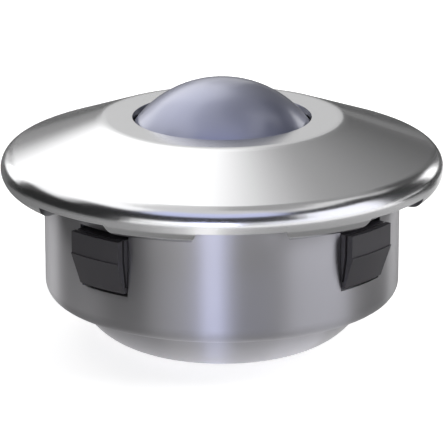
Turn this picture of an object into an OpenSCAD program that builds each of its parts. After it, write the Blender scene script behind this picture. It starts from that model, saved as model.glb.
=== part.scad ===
// Ball transfer unit: a steel ball that turns on a bed of small balls in a drawn
// sheet housing, under a pressed cover, held in its hole by four spring clips.
// +Z is up. The origin is on the axis, at the bottom of the boss. Heights and depths
// are from the seat, which is the underside of the tabs that rest on the table.

/* [Load ball] */
// Diameter of the load ball
ball_d = 22.2; // [20:0.1:23]
// Height of the load ball's centre from the seat
ball_z = -0.37; // [-1:0.01:0.2]
// Gap between the balls, and between the support balls and the load cup
ball_gap = 0.015; // [0.01:0.005:0.03]

/* [Support balls] */
// Diameter of one support ball
support_d = 2.5; // [2:0.1:2.8]
// Number of rows of support balls
support_rows = 7; // [4:1:7]
// Angle of the lowest row, from straight down
support_start = 7; // [7:0.5:9]
// Gap between neighbouring support balls
support_gap = 0.08; // [0.04:0.01:0.2]

/* [Load cup] */
// Wall of the load cup
cup_t = 1.1; // [0.8:0.05:1.3]
// Thickness of the cup's locating collar
cup_collar_t = 1.2; // [0.8:0.1:1.4]
// Height of the collar's top from the seat
cup_top_z = 0.3; // [0:0.05:0.6]
// Radius of the cup's flat foot
cup_foot_r = 5; // [3:0.5:6]

/* [Cover] */
// Outer diameter of the cover's rolled rim
rim_d = 44.7; // [43:0.1:50]
// Outer radius of the roll
roll_r = 1.94; // [1.8:0.02:2.4]
// Sheet thickness of the cover
cover_t = 0.8; // [0.6:0.05:1]
// Height of the cover's flat top from the seat
cover_top_z = 6.93; // [6.5:0.05:7.5]
// Diameter of the hole that the load ball stands out of
opening_d = 18.08; // [17:0.02:19]
// Radius at which the flat top would meet the straight slope
shoulder_r = 12.2; // [11.5:0.1:13.5]
// Radius of the bend between the flat top and the slope
shoulder_bend = 3; // [1:0.1:5]
// Height of the cut edge between two tabs
rim_edge_z = 1.3; // [1:0.05:1.6]

/* [Crimp tabs] */
// Angle between the edges of one tab, at its root
tab_angle = 22.2; // [14:0.1:24]
// Angle from the Y axis to the middle of the first tab
tab_first = 23.35; // [20:0.05:25]
// Angle between the two tabs beside a clip
tab_pitch = 46.5; // [42:0.5:50]
// Angle that each end of a tab slants by
tab_slant = 1.2; // [0:0.1:3]
// Inner radius of the tabs
tab_inner_r = 19.2; // [18.8:0.1:19.8]

/* [Housing] */
// Outer diameter of the housing
housing_d = 36; // [34:0.1:37]
// Sheet thickness of the housing
housing_t = 1; // [0.8:0.05:1.1]
// Depth of the housing's wall below the seat
housing_depth = 11.4; // [9:0.05:14]
// Outer radius of the bend at the bottom of the wall
housing_bend = 1.6; // [1.2:0.1:3]
// Radius where the boss would leave the housing's floor
boss_r = 15.24; // [14:0.1:16]
// Depth of the boss's flat face below the seat
boss_depth = 16.15; // [15.5:0.05:17.5]
// Radius of the bend round the boss
boss_bend = 6.95; // [4:0.05:8]
// Radius of the hollow bend where the boss leaves the floor
boss_fillet = 0.6; // [0.4:0.1:1]
// Outer diameter of the housing's flange
flange_d = 41.4; // [40:0.1:42]
// Outer radius of the bend between the wall and the flange
flange_bend = 1.5; // [1.2:0.1:2]

/* [Clips] */
// Number of clips
clip_count = 4; // [2:1:4]
// Width of a clip
clip_w = 6.1; // [4:0.1:7]
// Amount that each side of a clip tapers by, from its step to its foot
clip_taper = 0.15; // [0:0.05:0.4]
// Depth of a clip's top below the seat
clip_top = 1.25; // [1.25:0.05:2.5]
// Depth of the step across a clip, where its ramp starts
clip_step = 3.45; // [3:0.05:4.5]
// Depth of a clip's foot
clip_foot = 6.75; // [6:0.05:8]
// Distance that a clip's step stands out of the housing
clip_proud = 1.5; // [1.1:0.05:1.7]
// Distance that a clip's foot stands out of the housing
clip_foot_proud = 0.35; // [0.2:0.05:0.5]
// Thickness of a clip's front leaf at the step
clip_leaf_t = 0.73; // [0.5:0.01:0.8]
// Thickness of the front leaf at the bottom of the slot behind it
clip_leaf_root = 0.28; // [0.2:0.01:0.4]
// Width of the slot behind the front leaf
clip_slot = 0.27; // [0.1:0.01:0.3]
// Depth that a clip's face is set back by above the step
clip_recess = 0.12; // [0.05:0.01:0.2]
// Width that a clip's shoulder reaches past the window, behind the wall
clip_shoulder = 0.8; // [0.5:0.05:1.2]
// Thickness of the shoulder
clip_shoulder_t = 0.4; // [0.3:0.05:0.5]
// Height of a clip's foot that the slot stops short of
clip_web = 0.6; // [0.4:0.1:1.2]

/* [Keeper and seal] */
// Thickness of the keeper ring's floor
keeper_t = 2; // [1.5:0.1:2.4]
// Thickness of the keeper ring's wall
keeper_wall = 1.2; // [0.9:0.05:1.6]
// Gap between the load ball and the keeper ring
keeper_gap = 0.2; // [0.1:0.05:0.4]
// Gap between the load ball and the seal
seal_gap = 0.05; // [0.05:0.05:0.2]
// Distance that the seal's lip keeps back from the edge of the cover's hole
seal_lip = 0.45; // [0.3:0.05:0.8]

/* [Fits] */
// Gap between a piece and the seat that it rests on
seat_gap = 0.02; // [0.01:0.01:0.05]
// Gap between a round piece and the wall round it
side_gap = 0.1; // [0.05:0.05:0.2]
// Gap between the load ball and the edge of the cover's hole
lip_gap = 0.15; // [0.1:0.05:0.3]
// Gap round a clip in its window
window_gap = 0.1; // [0.05:0.05:0.2]
// Gap above and below a clip in its window, where it tilts
window_room = 0.38; // [0.35:0.01:0.4]

/* [Hidden] */
$fn = 120;
support_facets = 48;
reach = 40;

ball_r = ball_d / 2;
support_r = support_d / 2;
bed_r = ball_r + ball_gap + support_r;
cup_inner_r = bed_r + support_r + ball_gap;
cup_outer_r = cup_inner_r + cup_t;
opening_r = opening_d / 2;
wall_r = housing_d / 2;
wall_inner_r = wall_r - housing_t;
fitted_r = wall_inner_r - side_gap;
flange_r = flange_d / 2;
flange_z = cover_t + seat_gap;
flange_top_z = flange_z + housing_t;
floor_z = housing_t - boss_depth;
rim_r = rim_d / 2;
roll_x = rim_r - roll_r;
keeper_z = cup_top_z + seat_gap;
seal_z = keeper_z + keeper_t + seat_gap;
clip_face_r = wall_r + clip_proud;
clip_foot_r = wall_r + clip_foot_proud;
clip_back_r = fitted_r - clip_shoulder_t;

// The slope leaves the flat top at the shoulder and runs down to touch the roll.
slope_run = roll_x - shoulder_r;
slope_drop = cover_top_z - roll_r;
slope_angle = atan(slope_drop / slope_run) - asin(roll_r / norm([slope_run, slope_drop]));
bend_x = shoulder_r - shoulder_bend * tan(slope_angle / 2);
bend_z = cover_top_z - shoulder_bend;

row_step = 2 * asin((support_r + support_gap / 2) / bed_r);
row_names = [for (i = [1:support_rows]) str("support_row_", i)];
clip_names = [for (i = [1:clip_count]) str("clip_", i)];

function row_angle(i) = support_start + i * row_step;
function row_r(i) = bed_r * sin(row_angle(i));
function row_z(i) = ball_z - bed_r * cos(row_angle(i));
function row_count(i) = floor(180 / asin((support_r + support_gap / 2) / row_r(i)));
function clip_angle(i) = 45 + i * 360 / clip_count;

// The fraction of a slanted side that has been run at a given depth of a clip
function taper_at(depth) = clip_taper * (depth - clip_step) / (clip_foot - clip_step);

// Lifts what is drawn from the seat, so that the boss stands at the origin
module from_seat() {
    translate([0, 0, boss_depth]) children();
}

// A disc of radius r round the load ball's centre, in the plane that is revolved
module ball_disc(r) {
    translate([0, ball_z]) circle(r = r);
}

// The half of that plane that a revolve may use
module right_half() {
    translate([0, -reach]) square([reach, 2 * reach]);
}

module revolve() {
    rotate_extrude() intersection() {
        children();
        right_half();
    }
}

// Everything under the cover's skin, drawn in from it by inset
module cover_outline(inset) {
    across = [sin(slope_angle), cos(slope_angle)];
    slope_start = [bend_x, bend_z] + (shoulder_bend - inset) * across;
    slope_end = [roll_x, roll_r] + (roll_r - inset) * across;
    polygon([
        [0, inset],
        [roll_x, inset],
        [roll_x, roll_r],
        slope_end,
        slope_start,
        [bend_x, cover_top_z - inset],
        [0, cover_top_z - inset]
    ]);
    translate([roll_x, roll_r]) circle(r = roll_r - inset);
    translate([bend_x, bend_z]) circle(r = shoulder_bend - inset);
}

// The space under the cover, less the gap that a piece seated there keeps
module under_cover() {
    cover_outline(cover_t + seat_gap);
}

// Notch between two tabs. half is half of the angle between their roots.
module tab_notch(half) {
    root_w = roll_x * sin(half);
    foot_w = roll_x * sin(half + tab_slant);
    rotate([90, 0, 90]) linear_extrude(reach) polygon([
        [-root_w, rim_edge_z],
        [root_w, rim_edge_z],
        [foot_w, 0],
        [foot_w, -cover_t],
        [-foot_w, -cover_t],
        [-foot_w, 0]
    ]);
}

module cover() {
    y_gap = tab_first - tab_angle / 2;
    clip_gap = (tab_pitch - tab_angle) / 2;
    x_gap = 90 - tab_first - tab_pitch - tab_angle / 2;
    color("#c9cacc") from_seat() difference() {
        revolve() difference() {
            cover_outline(0);
            cover_outline(cover_t);
            square([opening_r, reach]);
            ball_disc(ball_r + lip_gap);
            translate([0, -reach]) square([tab_inner_r, reach + roll_r]);
        }
        for (side = [0, 180]) {
            rotate(side) tab_notch(x_gap);
            rotate(side + 90) tab_notch(y_gap);
            for (turn = [-1, 1])
                rotate(side + 90 + turn * (tab_first + tab_pitch / 2)) tab_notch(clip_gap);
        }
    }
}

// The housing's outside as a solid, without its flange, drawn in by inset
module housing_outline(inset) {
    bend_r = housing_bend - inset;
    corner_x = wall_r - housing_bend;
    corner_z = housing_bend - housing_depth;
    bend_at = [boss_r - boss_bend, boss_bend - boss_depth];
    fillet_drop = bend_at[1] + housing_depth + boss_fillet;
    fillet_run = sqrt(pow(boss_bend + boss_fillet, 2) - pow(fillet_drop, 2));
    fillet_at = bend_at + [fillet_run, -fillet_drop];
    translate([0, corner_z]) square([wall_r - inset, flange_top_z - corner_z]);
    translate([0, inset - housing_depth]) square([corner_x, housing_depth]);
    translate([corner_x, corner_z]) circle(r = bend_r);
    translate([0, inset - boss_depth]) square([bend_at[0], boss_bend]);
    translate(bend_at) circle(r = boss_bend - inset);
    difference() {
        polygon([bend_at, fillet_at, [fillet_at[0], bend_at[1]]]);
        translate(fillet_at) circle(r = boss_fillet + inset);
    }
}

// Fill between a vertical wall at x and a level face at z, with a hollow bend of radius r
module hollow_bend(x, z, r) {
    difference() {
        translate([x - r, z - r]) square(2 * r);
        translate([x + r, z - r]) circle(r = r);
        translate([x - r, z]) square(2 * r);
        translate([x + r, z - r]) square(2 * r);
    }
}

// A clip's outline seen from outside, with a gap at each side and room above and below
module clip_outline(gap, room) {
    foot_w = clip_w / 2 + gap - taper_at(clip_foot + room);
    full_w = clip_w / 2 + gap;
    polygon([
        [-full_w, room - clip_top],
        [full_w, room - clip_top],
        [full_w, -clip_step],
        [foot_w, -clip_foot - room],
        [-foot_w, -clip_foot - room],
        [-full_w, -clip_step]
    ]);
}

// An outline drawn from outside, run inwards through the wall at +X
module through_wall() {
    rotate([90, 0, 90]) linear_extrude(reach) children();
}

module housing() {
    color("#a9abb0") from_seat() difference() {
        revolve() difference() {
            union() {
                housing_outline(0);
                intersection() {
                    translate([0, flange_z]) square([flange_r, housing_t]);
                    under_cover();
                }
                hollow_bend(wall_r, flange_z, flange_bend - housing_t);
            }
            housing_outline(housing_t);
            hollow_bend(wall_inner_r, flange_top_z, flange_bend);
        }
        for (i = [0:clip_count - 1])
            rotate(clip_angle(i)) through_wall() clip_outline(window_gap, window_room);
    }
}

module load_ball() {
    color("#8d93a6") from_seat() translate([0, 0, ball_z]) sphere(r = ball_r);
}

module load_cup() {
    color("#6f7074") from_seat() revolve() difference() {
        union() {
            ball_disc(cup_outer_r);
            translate([0, cup_top_z - cup_collar_t]) square([fitted_r, cup_collar_t]);
            translate([0, floor_z]) square([cup_foot_r, ball_z - floor_z]);
        }
        ball_disc(cup_inner_r);
        translate([0, ball_z]) square([cup_inner_r, reach]);
        translate([0, cup_top_z]) square(reach);
        translate([0, floor_z + seat_gap - reach]) square(reach);
    }
}

module support_row(i) {
    count = row_count(i);
    color("#c4c6ca") from_seat() for (k = [0:count - 1])
        rotate(k * 360 / count)
            translate([row_r(i), 0, row_z(i)]) sphere(r = support_r, $fn = support_facets);
}

module keeper_ring() {
    color("#34363a") from_seat() revolve() difference() {
        intersection() {
            union() {
                under_cover();
                square([fitted_r, roll_r]);
            }
            translate([0, keeper_z]) square([fitted_r, reach]);
        }
        ball_disc(ball_r + keeper_gap);
        translate([0, keeper_z + keeper_t]) square([fitted_r - keeper_wall, reach]);
    }
}

module seal_ring() {
    color("#202124") from_seat() revolve() difference() {
        intersection() {
            under_cover();
            translate([0, seal_z]) square([fitted_r - keeper_wall - side_gap, reach]);
        }
        ball_disc(ball_r + seal_gap);
        square([opening_r + seal_lip, reach]);
    }
}

// A clip's section, less the slot behind its front leaf
module clip_section() {
    face_r = clip_face_r - clip_recess;
    slot_end = clip_foot - clip_web;
    ramp_r = clip_foot_r + (clip_face_r - clip_foot_r) * clip_web / (clip_foot - clip_step);
    slot_top_r = clip_face_r - clip_leaf_t;
    slot_end_r = ramp_r - clip_leaf_root;
    difference() {
        polygon([
            [clip_back_r, -clip_top],
            [face_r, -clip_top],
            [face_r, -clip_step],
            [clip_face_r, -clip_step],
            [clip_foot_r, -clip_foot],
            [clip_back_r, -clip_foot]
        ]);
        polygon([
            [slot_top_r, 0],
            [slot_top_r, -clip_step],
            [slot_end_r, -slot_end],
            [slot_end_r - clip_slot, -slot_end],
            [slot_top_r - clip_slot, -clip_step],
            [slot_top_r - clip_slot, 0]
        ]);
    }
}

// The shoulder is as tall as the clip and catches behind the wall at both sides.
module clip_shoulder_outline() {
    translate([-clip_w / 2 - clip_shoulder, -clip_foot])
        square([clip_w + 2 * clip_shoulder, clip_foot - clip_top]);
}

module clip(i) {
    color("#48464a") from_seat() rotate(clip_angle(i)) {
        intersection() {
            revolve() clip_section();
            through_wall() clip_outline(0, 0);
        }
        intersection() {
            revolve() translate([clip_back_r, -clip_foot])
                square([clip_shoulder_t, clip_foot - clip_top]);
            through_wall() clip_shoulder_outline();
        }
    }
}

housing();
cover();
load_cup();
load_ball();
keeper_ring();
seal_ring();
for (i = [0:support_rows - 1])
    support_row(i);
for (i = [0:clip_count - 1])
    clip(i);
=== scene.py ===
import math

import bpy
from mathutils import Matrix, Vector


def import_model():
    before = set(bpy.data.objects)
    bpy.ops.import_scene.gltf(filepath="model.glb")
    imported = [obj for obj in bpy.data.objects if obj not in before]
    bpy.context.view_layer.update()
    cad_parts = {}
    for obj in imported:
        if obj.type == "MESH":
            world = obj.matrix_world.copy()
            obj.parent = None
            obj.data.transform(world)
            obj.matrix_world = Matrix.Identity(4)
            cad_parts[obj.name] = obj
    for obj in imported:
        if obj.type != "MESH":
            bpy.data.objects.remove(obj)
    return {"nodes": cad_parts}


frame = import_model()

MM = 0.001

# The camera stands off the object's -Y side, turned a little to its left and above it.
CAMERA_TURN = math.radians(4.8)
CAMERA_RISE = math.radians(17)
CAMERA_DISTANCE = 317.9 * MM
CAMERA_AIM = Vector((0, 0, 11.93 * MM))
LENS, SENSOR = 253.5, 36          # in mm, as the camera takes them

FLOOR_SIZE = 6                    # in metres
FLOOR_DROP = 0.01 * MM            # the floor lies this far under the object
CARD_LIFT = 0.2 * MM              # a table card lies this far above the floor
CARD_STEPS = 36                   # a bent card's straight stretches
FLOOR_GLOW = 0.6
WORLD_AS_LIGHT, WORLD_AS_SEEN = 0.62, 1.0

# Distances of the standing cards from the axis, in metres. A nearer card hides a further one.
FLAG, PEAK, FRONT, SCREEN, RING, BEHIND, LIMB = 0.3, 1.0, 1.1, 1.15, 1.2, 1.25, 1.3

# Edges of the table cards, as distances from the axis. The wall mirrors what lies from
# WALL_NEAR to WALL_FAR, and the boss what lies nearer.
BOSS_NEAR, WALL_NEAR, FLAG_NEAR, WALL_FAR, TABLE_END = (
    17 * MM, 33 * MM, 65 * MM, 95 * MM, 900 * MM)

WHITE, PALE_BLUE, LIGHT_BLUE, BLUE = "#FFFFFF", "#F4F5FF", "#E4E6FF", "#D4DAFF"

nodes = frame["nodes"]
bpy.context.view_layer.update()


# ---------------------------------------------------------------- colours and nodes

def linear(hex_colour):
    """An sRGB hex colour as linear RGBA."""
    channels = [int(hex_colour[i:i + 2], 16) / 255 for i in (1, 3, 5)]
    return tuple(c / 12.92 if c <= 0.04045 else ((c + 0.055) / 1.055) ** 2.4
                 for c in channels) + (1.0,)


def add(tree, kind, inputs=(), **settings):
    """Adds one shader node, sets its options, and sets or links its inputs."""
    node = tree.nodes.new(kind)
    for name, value in settings.items():
        setattr(node, name, value)
    for name, value in dict(inputs).items():
        if isinstance(value, bpy.types.NodeSocket):
            tree.links.new(value, node.inputs[name])
        else:
            node.inputs[name].default_value = value
    return node


def new_material(name, **sockets):
    """A material with one Principled shader, whose sockets are set by name with _ for a space."""
    material = bpy.data.materials.new(name)
    material.use_nodes = True
    shader = material.node_tree.nodes["Principled BSDF"]
    for socket, value in sockets.items():
        shader.inputs[socket.replace("_", " ")].default_value = value
    return material


def bare_tree(data):
    """The emptied node tree of a material or world."""
    data.use_nodes = True
    data.node_tree.nodes.clear()
    return data.node_tree


def wear(node, material):
    nodes[node].data.materials.clear()
    nodes[node].data.materials.append(material)


# ---------------------------------------------------------------- materials

def cover_steel():
    """Stainless sheet, pressed and satin finished: a soft mirror, in which the edges of the
    studio's cards show as blurred changes of tone, faintly broken up by the sheet's grain."""
    grain, depth = 0.2 * MM, 0.002 * MM
    material = new_material(
        "pressed_stainless_satin", Base_Color=linear("#C9C9CA"), Metallic=1.0, Roughness=0.21)
    tree = material.node_tree
    place = add(tree, "ShaderNodeTexCoord").outputs["Object"]
    noise = add(tree, "ShaderNodeTexNoise", {"Vector": place, "Scale": 1 / grain, "Detail": 2.0})
    bump = add(tree, "ShaderNodeBump", {
        "Height": noise.outputs["Fac"], "Strength": 0.3, "Distance": depth})
    tree.links.new(bump.outputs[0], tree.nodes["Principled BSDF"].inputs["Normal"])
    return material


def housing_steel():
    """Stainless sheet, drawn and turned: its lines run round the wall and draw each reflection
    out up and down it, so the wall shows tall soft bands."""
    return new_material(
        "drawn_stainless_turned", Base_Color=linear("#C2C1C4"), Metallic=1.0, Roughness=0.46,
        Anisotropic=1.0, Anisotropic_Rotation=0.25)


def ball_steel():
    """Hardened steel, ground: a broad grey sheen, slightly blue, with a clearer one over it."""
    return new_material(
        "ground_steel_ball", Base_Color=linear("#83869A"), Metallic=1.0, Roughness=0.44,
        Coat_Weight=1.0, Coat_Roughness=0.2)


def support_steel():
    """Hardened steel, polished: small bright mirrors."""
    return new_material(
        "polished_steel_balls", Base_Color=linear("#C8CACD"), Metallic=1.0, Roughness=0.12)


def cup_steel():
    """Steel, hardened and ground: darker than the sheet, with a blurred sheen."""
    return new_material(
        "hardened_steel_cup", Base_Color=linear("#8F9195"), Metallic=1.0, Roughness=0.3)


def clip_plastic():
    """Nylon, moulded: a near black with a dull, even sheen."""
    return new_material("moulded_clip_plastic", Base_Color=linear("#363438"), Roughness=0.5)


def keeper_plastic():
    """Nylon, moulded: as the clips, a little darker."""
    return new_material("moulded_keeper_plastic", Base_Color=linear("#2B2C2F"), Roughness=0.5)


def felt():
    """Wool felt, pressed and oiled: almost black and without a highlight, with a faint fuzz."""
    return new_material(
        "oiled_felt", Base_Color=linear("#26262A"), Roughness=0.95, Sheen_Weight=0.3)


wear("cover", cover_steel())
wear("housing", housing_steel())
wear("load_ball", ball_steel())
wear("load_cup", cup_steel())
wear("keeper_ring", keeper_plastic())
wear("seal_ring", felt())
support, clip = support_steel(), clip_plastic()
for name in nodes:
    if name.startswith("support_row"):
        wear(name, support)
    if name.startswith("clip"):
        wear(name, clip)
for node in nodes.values():
    node.data.shade_smooth()


# ---------------------------------------------------------------- floor, light and camera

def any_ray(tree, *kinds):
    """1 where a ray of one of these kinds meets the surface, and 0 for any other ray."""
    path = add(tree, "ShaderNodeLightPath")
    total = path.outputs[kinds[0]]
    for kind in kinds[1:]:
        total = add(tree, "ShaderNodeMath", {0: total, 1: path.outputs[kind]},
                    operation="ADD", use_clamp=True).outputs[0]
    return total


def floor():
    """A white floor that glows only where the camera or a reflection sees it."""
    bpy.ops.mesh.primitive_plane_add(size=FLOOR_SIZE)
    plane = bpy.context.object
    plane.name = "floor"
    plane.location.z = -FLOOR_DROP
    material = bpy.data.materials.new("white_studio_floor")
    tree = bare_tree(material)
    paint = add(tree, "ShaderNodeBsdfDiffuse", {"Color": linear("#F2F2F2")})
    glow = add(tree, "ShaderNodeEmission", {"Color": linear(WHITE), "Strength": FLOOR_GLOW})
    both = add(tree, "ShaderNodeAddShader", {0: paint.outputs[0], 1: glow.outputs[0]})
    mix = add(tree, "ShaderNodeMixShader", {
        "Fac": any_ray(tree, "Is Camera Ray", "Is Glossy Ray"),
        1: paint.outputs[0], 2: both.outputs[0]})
    add(tree, "ShaderNodeOutputMaterial", {"Surface": mix.outputs[0]})
    plane.data.materials.append(material)


def softbox(name, place, aim, size, power):
    """A square lamp that lights the object, and that nothing sees or mirrors."""
    light = bpy.data.lights.new(name, "AREA")
    light.shape, light.size, light.size_y = "RECTANGLE", size, size
    light.energy = power
    lamp = bpy.data.objects.new(name, light)
    bpy.context.scene.collection.objects.link(lamp)
    lamp.location = place
    lamp.rotation_euler = (Vector(aim) - Vector(place)).to_track_quat("-Z", "Y").to_euler()
    lamp.visible_camera = lamp.visible_glossy = False


def bent_card(name, turn, lower, upper, glow, colour):
    """A card bent round the object, which only reflections show. turn is its two ends in
    degrees to the right of the camera. lower and upper are its two edges, as their distance
    from the axis and height, in metres. glow(x, y) is its strength at x along it and y up it,
    both from 0 to 1."""
    points, strengths = [], []
    for i in range(CARD_STEPS + 1):
        angle = math.radians(turn[0] + (turn[1] - turn[0]) * i / CARD_STEPS - 90) - CAMERA_TURN
        for up, (distance, height) in enumerate((lower, upper)):
            points.append((distance * math.cos(angle), distance * math.sin(angle), height))
            strengths.append(glow(i / CARD_STEPS, up))
    faces = [(2 * i, 2 * i + 1, 2 * i + 3, 2 * i + 2) for i in range(CARD_STEPS)]
    mesh = bpy.data.meshes.new(name)
    mesh.from_pydata(points, [], faces)
    mesh.attributes.new("glow", "FLOAT", "POINT").data.foreach_set("value", strengths)
    card = bpy.data.objects.new(name, mesh)
    bpy.context.scene.collection.objects.link(card)
    card.visible_camera = card.visible_shadow = False
    card.visible_diffuse = card.visible_transmission = False
    material = bpy.data.materials.new(name)
    tree = bare_tree(material)
    strength = add(tree, "ShaderNodeAttribute", attribute_name="glow")
    light = add(tree, "ShaderNodeEmission", {
        "Color": linear(colour), "Strength": strength.outputs["Fac"]})
    add(tree, "ShaderNodeOutputMaterial", {"Surface": light.outputs[0]})
    mesh.materials.append(material)


def panel(name, turn, rise, glow, colour=WHITE, distance=RING):
    """A standing studio panel. rise is its lower and upper edges in degrees. glow is its
    strength, or its strengths at its lower left, lower right, upper left and upper right."""
    lower, upper = [(distance, distance * math.tan(math.radians(edge))) for edge in rise]
    corners = glow if isinstance(glow, tuple) else (glow,) * 4

    def blend(x, y):
        left, right = corners[2 * y], corners[2 * y + 1]
        return left + (right - left) * x
    bent_card(name, turn, lower, upper, blend, colour)


def table_card(name, turn, inner, outer, start, end):
    """A card on the table, from inner to outer metres off the axis. start and end are its
    strengths at its two ends."""
    bent_card(name, turn, (inner, CARD_LIFT), (outer, CARD_LIFT),
              lambda x, y: start + (end - start) * x, WHITE)


def world():
    """White to whatever looks at it, and dimmer as a light."""
    studio = bpy.data.worlds.new("studio")
    bpy.context.scene.world = studio
    tree = bare_tree(studio)
    strength = add(tree, "ShaderNodeMapRange", {
        "Value": any_ray(tree, "Is Camera Ray", "Is Glossy Ray", "Is Transmission Ray"),
        "To Min": WORLD_AS_LIGHT, "To Max": WORLD_AS_SEEN})
    background = add(tree, "ShaderNodeBackground", {"Strength": strength.outputs[0]})
    add(tree, "ShaderNodeOutputWorld", {"Surface": background.outputs[0]})


def camera():
    away = Vector((-math.sin(CAMERA_TURN) * math.cos(CAMERA_RISE),
                   -math.cos(CAMERA_TURN) * math.cos(CAMERA_RISE), math.sin(CAMERA_RISE)))
    data = bpy.data.cameras.new("camera")
    data.lens, data.sensor_width = LENS, SENSOR
    data.clip_start, data.clip_end = 0.01, 20
    shot = bpy.data.objects.new("camera", data)
    bpy.context.scene.collection.objects.link(shot)
    shot.location = CAMERA_AIM + away * CAMERA_DISTANCE
    shot.rotation_euler = (-away).to_track_quat("-Z", "Y").to_euler()
    bpy.context.scene.camera = shot


floor()
world()
softbox("key", (0.7, -0.1, 0.75), (0, 0, 0), 0.9, 6)
softbox("fill", (-0.3, 0.7, 0.7), (0, 0, 0), 0.8, 2.5)

# The table, which the wall, the rim's underside and the boss mirror: where each stop stands,
# in degrees to the right of the camera, and its strength. The first and the last stop meet
# behind the object.
TABLE = (
    (-180, 0.22), (-130, 0.22), (-60, 0.42), (-35, 0.52), (-20, 0.80), (-14, 1.00),
    (-9, 1.60), (-4, 1.60), (2, 0.90), (12, 0.64), (25, 0.54), (60, 0.60),
    (95, 0.72), (115, 0.55), (128, 0.60), (145, 1.30), (160, 1.30), (180, 0.60))
for (turn, glow), (next_turn, next_glow) in zip(TABLE, TABLE[1:]):
    table_card("table_card_%d" % turn, (turn, next_turn), WALL_NEAR, WALL_FAR, glow, next_glow)
# A grey card round the object's foot, which only reflections show. It is painted shade: a flat
# stand-in for the object's shadow on the floor next to it, which the boss mirrors.
table_card("table_card_near", (-180, 180), BOSS_NEAR, WALL_NEAR, 0.34, 0.34)
table_card("table_card_back", (118, 240), WALL_FAR, TABLE_END, 0.10, 0.20)
table_card("table_flag_left", (-130, -46), FLAG_NEAR, FLAG, 0.03, 0.03)
table_card("table_flag_right", (95, 130), FLAG_NEAR, FLAG, 0.08, 0.08)

# Behind the object, mirrored by the flat ring, the slope's front and the top of the ball.
panel("key_side", (-173, -160), (0, 13), 0.2)
panel("key_rise", (-178, -150), (13, 23), (0.6, 0.2, 1.2, 2.4))
panel("key_low", (-174, -150), (23, 62), (1.6, 2.4, 2.2, 2.2))
panel("key_middle", (-184, -174), (30, 45), (1.0, 1.6, 1.6, 2.2))
panel("key_top", (-197, -174), (45, 62), (0.55, 2.2, 0.55, 2.2))
panel("back_grey", (150, 172), (3, 45), (0.06, 0.05, 0.42, 0.58), distance=BEHIND)
panel("back_grey_top", (128, 172), (45, 72), (0.42, 0.5, 0.45, 0.5), distance=BEHIND)
panel("edge_left", (-150, -128), (0, 28), 2.2)
panel("edge_right", (133, 146), (0, 22), 2.4)
panel("back_low", (163, 197), (0, 8), 0.35)

# At the sides and above, mirrored by the slope's sides and by the ball.
panel("right_grey", (64, 128), (52, 66), 1.15)
panel("right_low", (92, 130), (0, 10), 0.12)
panel("right_dark", (92, 130), (10, 40), 0.04)
panel("left_sky", (-150, -60), (48, 66), 1.8)
panel("left_middle", (-150, -100), (28, 48), (1.6, 1.6, 2.0, 2.0))
panel("top_light", (-180, 60), (66, 89.9), 1.0)
panel("top_grey", (60, 180), (66, 89.9), 0.5)
panel("right_limb", (130, 152), (22, 50), 0.08, distance=LIMB)

# Dark flags, which keep dark bands between the lit ones on the rim, the slope and the wall.
panel("front_flag", (-50, 40), (14, 44), 0.04)
panel("right_flag", (40, 112), (38, 54), 0.04, distance=SCREEN)
panel("left_flag", (-86, -46), (0, 48), 0.03, distance=FLAG)
panel("left_flag_low", (-124, -86), (0, 27), 0.03, distance=FLAG)

# In front of the object, mirrored by the rim's roll and the ball and, drawn out up and down,
# by the wall. The last one is a low flag behind the object.
panel("left_strip", (-46, -20), (0, 13), (1.0, 2.4, 1.0, 2.4), distance=FRONT)
panel("front_wide", (-20, 8), (0, 13), 3.0, LIGHT_BLUE, distance=FRONT)
panel("front_peak", (-12, 2), (0, 13), 11.0, BLUE, distance=PEAK)
panel("front_high", (-50, 40), (44, 66), 1.4, BLUE, distance=SCREEN)
panel("front_right", (20, 45), (0, 13), (1.2, 1.7, 1.2, 1.7), PALE_BLUE, distance=FRONT)
panel("right_tall", (45, 88), (0, 37), 1.9, PALE_BLUE, distance=FRONT)
panel("edge_flag", (-235, -125), (0, 5), 0.03, distance=FLAG)

camera()
bpy.context.scene.view_settings.view_transform = "Standard"
